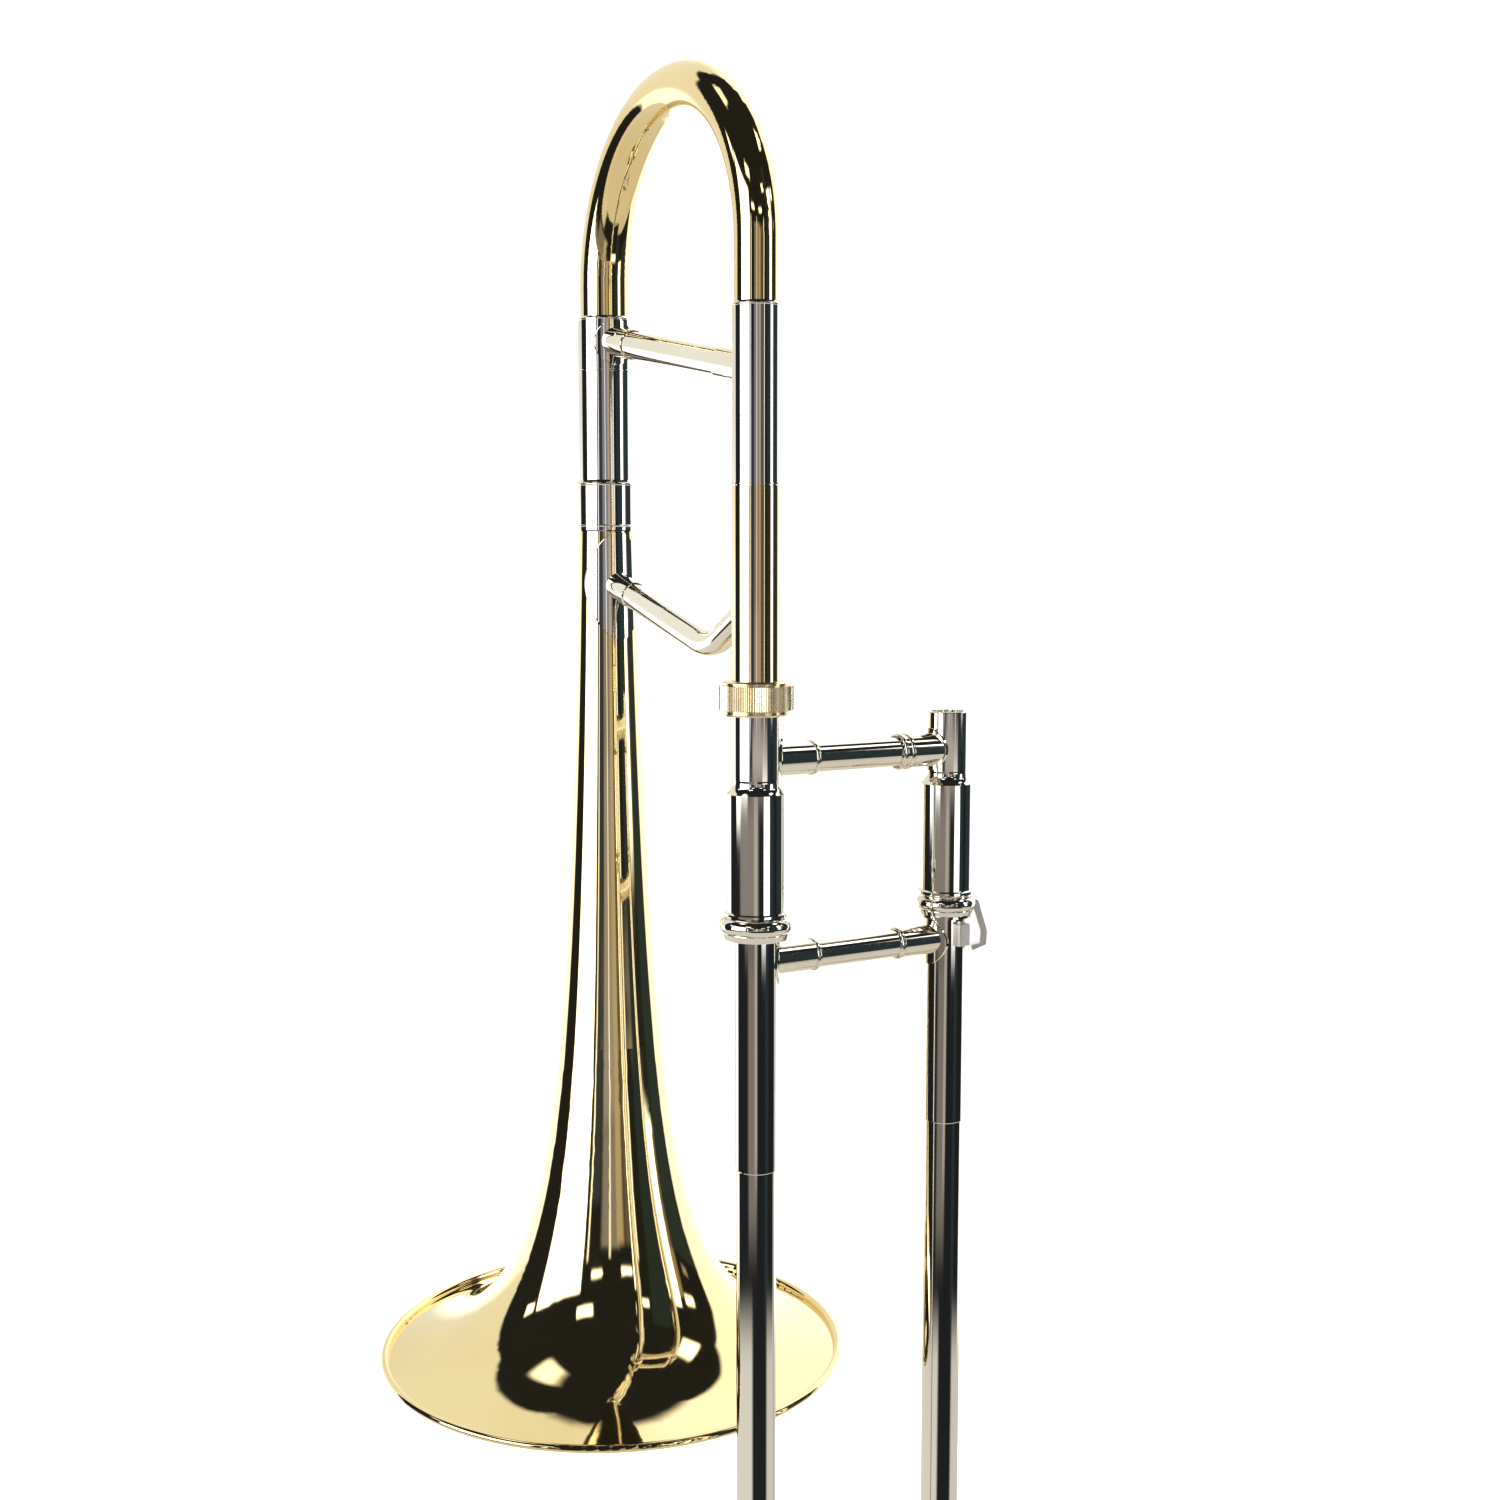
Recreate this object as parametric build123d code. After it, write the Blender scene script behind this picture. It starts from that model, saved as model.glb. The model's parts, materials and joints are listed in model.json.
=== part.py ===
from build123d import *
import math
import os

# A straight tenor trombone, upright with its bell down and its slide closed.
# Millimetres, +Z up along every tube, origin at the centre of the bell's mouth.
# The bell section lies in the YZ plane with its neckpipe at -Y. The hand slide
# hangs from the neckpipe and reaches towards +X.
# Each piece is built by its own function and saved as one file per node.

# ---- the four legs ----
LEG_SPACING = 132.0        # bell axis to neck axis
SLIDE_SPACING = 87.0       # neck leg to mouthpiece leg
SLIDE_TURN = 2.0           # degrees past +X, which sets slide and bell 88 degrees apart

# ---- bell ----
BELL_RADIUS = 101.6        # an eight-inch bell
BELL_SHEET = 0.5
BELL_TOP = 363.0
BELL_SEAM = 140.0          # flare below, stem above
FLARE_LENGTH = 13.5        # the horn curve: radius = core + flare * (L / (L + height)) ** power
FLARE_POWER = 0.55
FLARE_CORE = -6.0
FLARE_TAPER = 0.0012
CURL_RADIUS = 1.65         # rolled edge round the rim wire
CURL_BORE = 1.1
WIRE_RADIUS = 1.05

# ---- tuning slide: fixed tubes below, moving tubes above ----
FERRULE_BOTTOM, FERRULE_TOP, FERRULE_RADIUS = 359.3, 380.8, 12.4
RECEIVER_RADIUS, RECEIVER_BORE, RECEIVER_TOP = 11.3, 10.7, 426.2
LARGE_LEG_RADIUS, LARGE_LEG_BORE, LARGE_LEG_BOTTOM = 10.65, 10.1, 365.0
LARGE_CAP_BOTTOM, LARGE_CAP_TOP = 426.5, 448.4
SLEEVE_BOTTOM, SLEEVE_TOP, SLEEVE_RADIUS, SLEEVE_BORE = 374.4, 439.0, 8.85, 8.35
SMALL_LEG_RADIUS, SMALL_LEG_BORE, SMALL_LEG_TOP = 8.3, 7.75, 427.4
BOW_CENTRE = 461.2
BOW_LARGE, BOW_SMALL, BOW_WALL = 10.2, 8.1, 0.6
BOW_LARGE_END, BOW_SMALL_END = 438.0, 428.0

# ---- neckpipe, lock nut and slide tenon ----
NECK_RADIUS, NECK_BOTTOM, NECK_TOP = 9.0, 300.4, 374.1
NECK_LEG_BOTTOM = 366.0
NECK_COLLAR_RADIUS, NECK_COLLAR_TOP = 10.2, 301.6
NUT_BOTTOM, NUT_TOP, NUT_RADIUS = 291.0, 303.8, 13.6
NUT_KNURL_BOTTOM, NUT_KNURL_TOP, KNURL_TEETH, KNURL_DEPTH = 293.2, 302.0, 100, 0.3
THREAD_RADIUS, THREAD_BOTTOM, THREAD_TOP = 10.4, 291.4, 300.0
CONE_TOP, CONE_LARGE, CONE_SMALL = 314.2, 7.9, 7.3
FIT = 0.06                 # radial clearance of turning fits

# ---- hand slide ----
BORE_RADIUS = 6.67         # a .525 inch bore
INNER_RADIUS = 6.95
STOCKING_RADIUS, STOCKING_TOP = 7.18, -335.0
INNER_BOTTOM, INNER_TOP = -430.0, 285.0
OUTER_RADIUS, OUTER_BORE = 7.5, 7.24
OUTER_BOTTOM, OUTER_TOP = -450.0, 253.3
OVERSLEEVE_RADIUS, OVERSLEEVE_TOP = 7.92, 232.0
OVERSLEEVE_BOTTOM_NECK, OVERSLEEVE_BOTTOM_MOUTH = 120.2, 125.7
TENON_RADIUS = 9.0
BARREL_RADIUS, BARREL_CAVITY = 11.0, 10.0
BARREL_BOTTOM, BARREL_SHOULDER, BARREL_TOP = 218.6, 262.7, 267.5
MOUTH_RADIUS = 8.2
MOUTH_BARREL_RADIUS, MOUTH_BARREL_CAVITY = 10.4, 9.4
MOUTH_BARREL_BOTTOM, MOUTH_BARREL_SHOULDER, MOUTH_BARREL_TOP = 219.0, 261.1, 265.8
CAVITY_TOP = 257.5
CORK_HEIGHT = 3.3
RING_BORE = 8.5            # clear hole in the barrel ends for the outer tubes
RING_BEAD = 213.5          # height of the fattest part of both barrel-end rings
RECEIVER_MOUTH = 288.9     # open top of the mouthpiece receiver
SHANK_RADIUS = 6.35        # large tenor shank, 1 in 20 taper
SHANK_SLOPE = 1 / 40
LEADPIPE_BOTTOM, LEADPIPE_EXIT = 66.0, 6.4

# ---- braces: tube radius, cup radius, cup rings and heights ----
BRACE_WALL = 0.6
CUP_DEPTH = 5.0
CUP_CHAMFER = 0.3          # bevel round the mouth of every cup
CUP_RING_RISE, CUP_RING_WIDTH = 0.5, 1.8
SADDLE = 0.7               # thickness of the saddle plates
TUNING_BRACE_RADIUS, TUNING_CUP_RADIUS = 5.5, 6.0
TUNING_BRACE_LARGE_END, TUNING_BRACE_SMALL_END = 439.5, 415.4
BELL_BRACE_RADIUS, BELL_CUP_RADIUS = 5.15, 5.6
BELL_BRACE_START, BELL_BRACE_BEND, BELL_BRACE_END = (0, 339.8), (97, 314), (128, 330)
BELL_BRACE_BEND_RADIUS = 28.0
BELL_SADDLE_HALF = 22.5
UPPER_BRACE, UPPER_BRACE_RADIUS = 274.2, 5.6
LOWER_BRACE, LOWER_BRACE_RADIUS = 199.4, 5.2

# ---- slide lock ----
LOCK_BORE = 9.36
LOCK_SPIGOT = 9.3
HOOK_AZIMUTH, CATCH_AZIMUTH = -25.0, -80.6
HOOK_WIDTH = 5.0
CATCH_WIDTH, CATCH_RADIUS, CATCH_BOTTOM, CATCH_TOP = 6.0, 11.3, 197.5, 206.0

# ---- foot of the slide ----
CROOK_CENTRE = -458.0
CROOK_BORE = 6.95
CROOK_FERRULE_RADIUS, CROOK_FERRULE_BOTTOM, CROOK_FERRULE_TOP = 8.4, -457.0, -441.0
GUARD_RADIUS, GUARD_SPAN = 8.1, 56.0
BUMPER_BOTTOM = -522.0

# ---- water key, measured from the neck leg's axis ----
KEY_PIVOT_OUT, KEY_PIVOT_HEIGHT = 12.4, -452.0
KEY_PIN_RADIUS, KEY_BARREL_RADIUS, KEY_BARREL_LENGTH = 1.0, 2.3, 8.0
NIPPLE_HEIGHT, NIPPLE_RADIUS, NIPPLE_HOLE, NIPPLE_END = -470.0, 3.0, 1.5, 10.2

turn = math.radians(SLIDE_TURN)
SLIDE_WAY = Vector(math.cos(turn), math.sin(turn), 0)
CROSS_WAY = Vector(-math.sin(turn), math.cos(turn), 0)
NECK_WAY = Vector(0, -1, 0)
BELL_LEG = Vector(0, 0, 0)
NECK_LEG = Vector(0, -LEG_SPACING, 0)
MOUTH_LEG = NECK_LEG + SLIDE_WAY * SLIDE_SPACING


# ---------------------------------------------------------------- shared shapes
def rod(leg, bottom, top, radius):
    """Solid cylinder about a vertical leg."""
    return Pos(leg.X, leg.Y, (bottom + top) / 2) * Cylinder(radius, top - bottom)


def tube(leg, bottom, top, radius, bore):
    """Plain tube about a vertical leg."""
    return rod(leg, bottom, top, radius) - rod(leg, bottom - 1, top + 1, bore)


def outline(*corners):
    """Straight edges through (radius, height) corners."""
    return Polyline(*[(radius, 0, height) for radius, height in corners])


def turned(leg, *edges):
    """Solid turned about a leg from edges that close an outline."""
    return Pos(leg.X, leg.Y, 0) * revolve(make_face(edges), Axis.Z)


def turned_corners(leg, *corners):
    """Solid turned about a leg from straight-edged (radius, height) corners."""
    return turned(leg, outline(*corners, corners[0]))


def bead(leg, height, radius, thickness):
    """Half-round ring that stands proud of a tube: a torus about a leg."""
    return Pos(leg.X, leg.Y, height) * Torus(radius, thickness)


def band(radius, width):
    """Short disc with rounded rims, used as a raised ring."""
    disc = Cylinder(radius, width)
    return fillet(disc.edges().filter_by(GeomType.CIRCLE), 0.4 * width)


def radial(azimuth):
    """Horizontal direction at an azimuth in degrees from +X."""
    return Vector(math.cos(math.radians(azimuth)), math.sin(math.radians(azimuth)), 0)


def at_height(leg, height):
    return Vector(leg.X, leg.Y, height)


def group(*pieces):
    """Matching pieces saved together as separate solids of one node."""
    return Compound([solid for piece in pieces for solid in piece.solids()])


def brace_tube(start, end, radius):
    """Hollow straight tube between two points."""
    run = end - start
    body = Cylinder(radius, run.length) - Cylinder(radius - BRACE_WALL, run.length)
    return Plane(origin=start, z_dir=run) * (Pos(0, 0, run.length / 2) * body)


def cup(leg, leg_radius, height, way, length, radius, bore, rings=()):
    """Socket that holds a brace's end, coped to the saddle on its leg.

    Distances are from the leg's axis along way, and rings says where bands stand."""
    body = Pos(0, 0, length / 2) * Cylinder(radius, length)
    body = chamfer(body.edges().sort_by(Axis.Z)[-1], CUP_CHAMFER)
    for distance in rings:
        body += Pos(0, 0, distance) * band(radius + CUP_RING_RISE, CUP_RING_WIDTH)
    body -= Pos(0, 0, length - CUP_DEPTH / 2) * Cylinder(bore, CUP_DEPTH)
    placed = Plane(origin=at_height(leg, height), z_dir=way) * body
    reach = 4 * radius
    return placed - rod(leg, height - reach, height + reach, leg_radius + SADDLE)


def oval_prism(leg, height, way, half_wide, half_tall, depth):
    """Elliptical prism that leaves a leg's axis along way."""
    flat_way = Vector(way.X, way.Y, 0).normalized()
    side = flat_way.cross(Vector(0, 0, 1))
    face = Plane(origin=at_height(leg, height), x_dir=side, z_dir=flat_way)
    return face * extrude(Ellipse(half_wide, half_tall), depth)


def saddle(leg, leg_radius, height, way, half_wide, half_tall):
    """Oval plate wrapped on a leg under a brace cup."""
    shell = tube(leg, height - half_tall - 1, height + half_tall + 1, leg_radius + SADDLE, leg_radius)
    return shell & oval_prism(leg, height, way, half_wide, half_tall, leg_radius + 2)


# ---------------------------------------------------------------- bell
def horn_radius(height):
    """Outer radius of the bell above its mouth."""
    flare = BELL_RADIUS - FLARE_CORE
    narrowing = (FLARE_LENGTH / (FLARE_LENGTH + height)) ** FLARE_POWER
    return FLARE_CORE + flare * narrowing + FLARE_TAPER * height


def horn_heights(count=22):
    """Heights that crowd towards the mouth, where the horn turns fastest."""
    return [BELL_TOP * (step / (count - 1)) ** 3 for step in range(count)]


def horn_inside(height):
    """Point on the bell's inner face, one sheet in from the outer face along its normal."""
    step = 0.01
    slope = (horn_radius(height + step) - horn_radius(height)) / step
    length = math.hypot(1, slope)
    return horn_radius(height) - BELL_SHEET / length, height + BELL_SHEET * slope / length


def bell_sheet():
    """The horn curve given a sheet's thickness, from mouth to tail."""
    lift = BELL_SHEET * 0.3
    outer = [(horn_radius(h), 0, h + lift) for h in horn_heights()]
    inner = [(r, 0, z + lift) for r, z in map(horn_inside, horn_heights())]
    top = outer[-1][2]
    inner[-1] = (outer[-1][0] - BELL_SHEET, 0, top)
    return turned(
        BELL_LEG,
        Spline(*outer),
        Line(outer[-1], inner[-1]),
        Spline(*reversed(inner)),
        Line(inner[0], outer[0]),
    )


def make_bell_flare():
    """Spun flare with its edge rolled round the rim wire."""
    curl_centre = BELL_RADIUS - CURL_RADIUS
    flare = bell_sheet() & rod(BELL_LEG, -5, BELL_SEAM, curl_centre)
    curl = bead(BELL_LEG, CURL_RADIUS, curl_centre, CURL_RADIUS)
    hollow = bead(BELL_LEG, CURL_RADIUS, curl_centre, CURL_BORE)
    return flare + curl - hollow


def make_bell_stem():
    """Narrow half of the bell, brazed to the flare end to end."""
    return bell_sheet() & rod(BELL_LEG, BELL_SEAM, BELL_TOP + 5, BELL_RADIUS)


def make_rim_wire():
    return bead(BELL_LEG, CURL_RADIUS, BELL_RADIUS - CURL_RADIUS, WIRE_RADIUS)


def make_bell_ferrule():
    """Ringed ferrule that joins the bell's tail to the tuning receiver."""
    tail = horn_radius(BELL_TOP) + 0.3
    body = turned_corners(
        BELL_LEG,
        (tail, FERRULE_BOTTOM), (FERRULE_RADIUS - 0.1, FERRULE_BOTTOM),
        (FERRULE_RADIUS, FERRULE_BOTTOM + 0.6), (FERRULE_RADIUS, FERRULE_TOP - 1.6),
        (RECEIVER_RADIUS + 0.4, FERRULE_TOP),
        (RECEIVER_RADIUS, FERRULE_TOP), (RECEIVER_RADIUS, BELL_TOP + 0.2), (tail, BELL_TOP + 0.2),
    )
    top_ring = bead(BELL_LEG, FERRULE_TOP - 1.7, FERRULE_RADIUS - 0.55, 0.8)
    bottom_ring = bead(BELL_LEG, FERRULE_BOTTOM + 2.4, FERRULE_RADIUS - 0.25, 0.5)
    bores = rod(BELL_LEG, FERRULE_BOTTOM - 1, BELL_TOP + 0.2, tail)
    bores += rod(BELL_LEG, BELL_TOP, FERRULE_TOP + 1, RECEIVER_RADIUS)
    return body + top_ring + bottom_ring - bores


def make_tuning_receiver():
    body = tube(BELL_LEG, BELL_TOP + 0.2, RECEIVER_TOP, RECEIVER_RADIUS, RECEIVER_BORE)
    rim = tube(BELL_LEG, RECEIVER_TOP - 0.5, RECEIVER_TOP, RECEIVER_RADIUS + 0.3, RECEIVER_BORE)
    return body + rim


# ---------------------------------------------------------------- bell brace
def bell_brace_point(place):
    distance, height = place
    return Vector(0, -distance, height)


def bell_brace_way():
    return bell_brace_point(BELL_BRACE_BEND) - bell_brace_point(BELL_BRACE_START)


def bell_saddle_height():
    """Where the brace's first run meets the bell's tail."""
    way = bell_brace_way()
    return BELL_BRACE_START[1] + way.Z / way.length * horn_radius(BELL_BRACE_START[1])


def make_bell_saddle():
    """Long oval plate that wraps the bell's tail, following its taper."""
    middle = bell_saddle_height()
    heights = [middle + BELL_SADDLE_HALF * step / 3 for step in range(-3, 4)]
    gap = 0.02
    face = [(horn_radius(h) + gap, 0, h) for h in heights]
    back = [(r + SADDLE, 0, z) for r, _, z in face]
    top, bottom = Line(face[-1], back[-1]), Line(back[0], face[0])
    shell = turned(BELL_LEG, Spline(*face), top, Spline(*reversed(back)), bottom)
    return shell & oval_prism(BELL_LEG, middle, NECK_WAY, horn_radius(middle) - 0.5, BELL_SADDLE_HALF, 20)


def make_bell_cup():
    return cup(
        BELL_LEG, horn_radius(bell_saddle_height()) + 0.3, BELL_BRACE_START[1], bell_brace_way(),
        28.0, BELL_CUP_RADIUS, BELL_BRACE_RADIUS,
    )


def make_bell_brace():
    """Bent tube: it runs down from the bell, turns up and meets the neckpipe."""
    way = bell_brace_way().normalized()
    start = bell_brace_point(BELL_BRACE_START) + way * (28.0 - CUP_DEPTH)
    bend = bell_brace_point(BELL_BRACE_BEND)
    end = bell_brace_point(BELL_BRACE_END)
    path = FilletPolyline(start, bend, end, radius=BELL_BRACE_BEND_RADIUS)
    mouth = Plane(origin=start, z_dir=way)
    body = sweep(mouth * Circle(BELL_BRACE_RADIUS), path=path)
    body -= sweep(mouth * Circle(BELL_BRACE_RADIUS - BRACE_WALL), path=path)
    return body - rod(NECK_LEG, NECK_BOTTOM, NECK_TOP, NECK_RADIUS + SADDLE)


def make_neck_saddle():
    return saddle(NECK_LEG, NECK_RADIUS, BELL_BRACE_END[1] - 2, NECK_WAY * -1, 6.6, 11.0)


# ---------------------------------------------------------------- neckpipe
def make_neckpipe():
    """Gold-brass pipe with the female cone below and the inner tuning leg's seat above."""
    return turned_corners(
        NECK_LEG,
        (CONE_LARGE + FIT, NECK_BOTTOM), (NECK_COLLAR_RADIUS, NECK_BOTTOM),
        (NECK_COLLAR_RADIUS, NECK_COLLAR_TOP), (NECK_RADIUS, NECK_COLLAR_TOP),
        (NECK_RADIUS, NECK_TOP), (SMALL_LEG_RADIUS, NECK_TOP),
        (SMALL_LEG_RADIUS, NECK_LEG_BOTTOM), (SMALL_LEG_BORE, NECK_LEG_BOTTOM),
        (SMALL_LEG_BORE, CONE_TOP + 0.6), (CONE_SMALL + FIT, CONE_TOP + 0.6),
    )


def make_neck_tuning_leg():
    return tube(NECK_LEG, NECK_LEG_BOTTOM, SMALL_LEG_TOP, SMALL_LEG_RADIUS, SMALL_LEG_BORE)


def knurled_disc(leg, bottom, top, radius):
    """Disc whose edge is cut with fine upright grooves."""
    corners = []
    for step in range(2 * KNURL_TEETH):
        angle = math.pi * step / KNURL_TEETH
        reach = radius - KNURL_DEPTH * (step % 2)
        corners.append((reach * math.cos(angle), reach * math.sin(angle)))
    star = make_face(Polyline(*corners, close=True))
    return Pos(leg.X, leg.Y, bottom) * extrude(star, top - bottom)


def make_lock_nut():
    """Captive nut: it hangs on the neckpipe's collar and draws up the tenon's thread."""
    rim = NUT_RADIUS - 1.0
    body = turned_corners(
        NECK_LEG,
        (0, NUT_BOTTOM), (rim - 0.8, NUT_BOTTOM), (rim, NUT_BOTTOM + 0.7), (rim, NUT_KNURL_BOTTOM - 0.4),
        (rim - 0.4, NUT_KNURL_BOTTOM), (rim - 0.4, NUT_KNURL_TOP), (rim, NUT_KNURL_TOP + 0.4),
        (rim, NUT_TOP - 0.7), (rim - 0.8, NUT_TOP), (0, NUT_TOP),
    )
    body += knurled_disc(NECK_LEG, NUT_KNURL_BOTTOM, NUT_KNURL_TOP, NUT_RADIUS)
    body -= rod(NECK_LEG, NUT_BOTTOM - 1, NECK_COLLAR_TOP + 0.35, THREAD_RADIUS + FIT)
    return body - rod(NECK_LEG, NUT_BOTTOM, NUT_TOP + 1, NECK_RADIUS + FIT)


# ---------------------------------------------------------------- tuning slide
def bow_section(angle, wall):
    """Round section of the tuning bow, at an angle from its narrow leg."""
    share = angle / math.pi
    radius = BOW_SMALL + (BOW_LARGE - BOW_SMALL) * share - wall
    half = LEG_SPACING / 2
    centre = Vector(0, -half - half * math.cos(angle), BOW_CENTRE + half * math.sin(angle))
    return Plane(origin=centre, z_dir=(0, math.sin(angle), math.cos(angle))) * Circle(radius)


def bow_solid(wall):
    """Tapered half-turn with its two straight legs, drawn in by a wall."""
    steps = 12
    turns = loft([bow_section(math.pi * step / steps, wall) for step in range(steps + 1)])
    large = rod(BELL_LEG, BOW_LARGE_END - 2 * wall, BOW_CENTRE, BOW_LARGE - wall)
    small = rod(NECK_LEG, BOW_SMALL_END - 2 * wall, BOW_CENTRE, BOW_SMALL - wall)
    return turns + large + small


def make_tuning_bow():
    return bow_solid(0) - bow_solid(BOW_WALL)


def make_large_cap():
    """Short ferrule over the bow's wide end, with the brace on it."""
    body = turned_corners(
        BELL_LEG,
        (LARGE_LEG_RADIUS, LARGE_CAP_BOTTOM), (RECEIVER_RADIUS, LARGE_CAP_BOTTOM),
        (RECEIVER_RADIUS, LARGE_CAP_TOP - 1.0), (BOW_LARGE + 0.4, LARGE_CAP_TOP),
        (BOW_LARGE, LARGE_CAP_TOP), (BOW_LARGE, BOW_LARGE_END), (LARGE_LEG_RADIUS, BOW_LARGE_END),
    )
    ring = bead(BELL_LEG, LARGE_CAP_TOP - 1.1, RECEIVER_RADIUS - 0.5, 0.65)
    return body + (ring - rod(BELL_LEG, LARGE_CAP_BOTTOM, LARGE_CAP_TOP + 1, BOW_LARGE))


def make_large_tuning_leg():
    return tube(BELL_LEG, LARGE_LEG_BOTTOM, BOW_LARGE_END, LARGE_LEG_RADIUS, LARGE_LEG_BORE)


def make_small_sleeve():
    """Long sleeve on the bow's narrow end that slides over the neck's tuning leg."""
    body = turned_corners(
        NECK_LEG,
        (SLEEVE_BORE, SLEEVE_BOTTOM), (SLEEVE_RADIUS + 0.3, SLEEVE_BOTTOM),
        (SLEEVE_RADIUS + 0.3, SLEEVE_BOTTOM + 0.5), (SLEEVE_RADIUS, SLEEVE_BOTTOM + 0.5),
        (SLEEVE_RADIUS, SLEEVE_TOP - 1.0), (BOW_SMALL + 0.3, SLEEVE_TOP), (BOW_SMALL, SLEEVE_TOP),
        (BOW_SMALL, BOW_SMALL_END), (SLEEVE_BORE, BOW_SMALL_END),
    )
    ring = bead(NECK_LEG, SLEEVE_TOP - 1.1, SLEEVE_RADIUS - 0.35, 0.6)
    return body + (ring - rod(NECK_LEG, SLEEVE_BOTTOM, SLEEVE_TOP + 1, BOW_SMALL))


def tuning_brace_way():
    start = at_height(BELL_LEG, TUNING_BRACE_LARGE_END)
    end = at_height(NECK_LEG, TUNING_BRACE_SMALL_END)
    return end - start


def tuning_brace_height(distance):
    """Height of the brace's axis at a distance from the bell axis."""
    return TUNING_BRACE_LARGE_END + tuning_brace_way().Z * distance / LEG_SPACING


def make_tuning_large_cup():
    return cup(
        BELL_LEG, RECEIVER_RADIUS, TUNING_BRACE_LARGE_END, tuning_brace_way(),
        28.5, TUNING_CUP_RADIUS, TUNING_BRACE_RADIUS,
    )


def make_tuning_small_cup():
    return cup(
        NECK_LEG, SLEEVE_RADIUS, TUNING_BRACE_SMALL_END, tuning_brace_way() * -1,
        26.0, TUNING_CUP_RADIUS, TUNING_BRACE_RADIUS,
    )


def make_tuning_large_saddle():
    return saddle(BELL_LEG, RECEIVER_RADIUS, tuning_brace_height(RECEIVER_RADIUS), NECK_WAY, 8.6, 9.2)


def make_tuning_small_saddle():
    height = tuning_brace_height(LEG_SPACING - SLEEVE_RADIUS)
    return saddle(NECK_LEG, SLEEVE_RADIUS, height, NECK_WAY * -1, 7.0, 8.6)


def make_tuning_brace():
    way = tuning_brace_way().normalized()
    start = at_height(BELL_LEG, TUNING_BRACE_LARGE_END) + way * (28.5 - CUP_DEPTH)
    end = at_height(NECK_LEG, TUNING_BRACE_SMALL_END) - way * (26.0 - CUP_DEPTH)
    return brace_tube(start, end, TUNING_BRACE_RADIUS)


# ---------------------------------------------------------------- inner slide
def make_slide_tenon():
    """Top of the slide's neck leg: thread for the nut and male cone for the neckpipe."""
    return turned_corners(
        NECK_LEG,
        (INNER_RADIUS, BARREL_TOP), (TENON_RADIUS, BARREL_TOP), (TENON_RADIUS, THREAD_BOTTOM),
        (THREAD_RADIUS, THREAD_BOTTOM), (THREAD_RADIUS, THREAD_TOP), (CONE_LARGE, THREAD_TOP),
        (CONE_SMALL, CONE_TOP), (BORE_RADIUS, CONE_TOP), (BORE_RADIUS, INNER_TOP), (INNER_RADIUS, INNER_TOP),
    )


def cork_barrel(leg, radius, cavity, bottom, shoulder, top, neck_radius):
    """Barrel that hides the outer tube's end, with a coved neck above."""
    lip = 0.4
    edge = radius - lip
    middle_radius = neck_radius + 0.3 * (edge - neck_radius)
    middle_height = shoulder + 0.32 * (top - shoulder)
    return turned(
        leg,
        outline(
            (cavity, CAVITY_TOP), (cavity, bottom), (radius, bottom),
            (radius, shoulder - lip), (edge, shoulder),
        ),
        ThreePointArc((edge, 0, shoulder), (middle_radius, 0, middle_height), (neck_radius, 0, top)),
        outline((neck_radius, top), (INNER_RADIUS, top), (INNER_RADIUS, CAVITY_TOP), (cavity, CAVITY_TOP)),
    )


def make_neck_barrel():
    return cork_barrel(
        NECK_LEG, BARREL_RADIUS, BARREL_CAVITY, BARREL_BOTTOM, BARREL_SHOULDER, BARREL_TOP, TENON_RADIUS,
    )


def make_mouth_barrel():
    return cork_barrel(
        MOUTH_LEG, MOUTH_BARREL_RADIUS, MOUTH_BARREL_CAVITY,
        MOUTH_BARREL_BOTTOM, MOUTH_BARREL_SHOULDER, MOUTH_BARREL_TOP, MOUTH_RADIUS,
    )


def make_barrel_end_ring():
    """Fixed ring on the neck barrel: a sharp lip, a fat bead and a tapered skirt."""
    body = turned_corners(
        NECK_LEG,
        (RING_BORE, 208.2), (11.6, 208.2), (12.4, 210.6), (11.3, 216.6), (11.0, 217.0),
        (12.2, 217.4), (12.2, 218.2), (BARREL_RADIUS, BARREL_BOTTOM), (RING_BORE, BARREL_BOTTOM),
    )
    swell = bead(NECK_LEG, RING_BEAD, 10.4, 3.3)
    return body + (swell - rod(NECK_LEG, 200, 230, RING_BORE))


def make_lock_spigot():
    """Lip and spigot under the mouthpiece barrel, on which the lock ring turns."""
    return turned_corners(
        MOUTH_LEG,
        (RING_BORE, 208.9), (LOCK_SPIGOT, 208.9), (LOCK_SPIGOT, 217.2), (10.9, 217.2), (11.2, 217.5),
        (11.2, 218.5), (MOUTH_BARREL_RADIUS, MOUTH_BARREL_BOTTOM), (RING_BORE, MOUTH_BARREL_BOTTOM),
    )


def make_lock_retainer():
    return tube(MOUTH_LEG, 208.0, 208.9, 10.0, RING_BORE)


def make_lock_ring():
    body = turned_corners(
        MOUTH_LEG,
        (LOCK_BORE, 209.2), (10.3, 209.2), (10.9, 210.9), (10.2, 216.6), (10.0, 216.9), (LOCK_BORE, 216.9),
    )
    swell = bead(MOUTH_LEG, RING_BEAD, 8.9, 3.0)
    return body + (swell - rod(MOUTH_LEG, 200, 230, LOCK_BORE))


def upright_plate(leg, azimuth, corners, width):
    """Flat plate that stands on a radius of a leg, from (reach, height) corners."""
    way = radial(azimuth)
    face = Plane(origin=leg, x_dir=way, z_dir=way.cross(Vector(0, 0, 1)))
    return face * extrude(make_face(Polyline(*corners, close=True)), width / 2, both=True)


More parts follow.
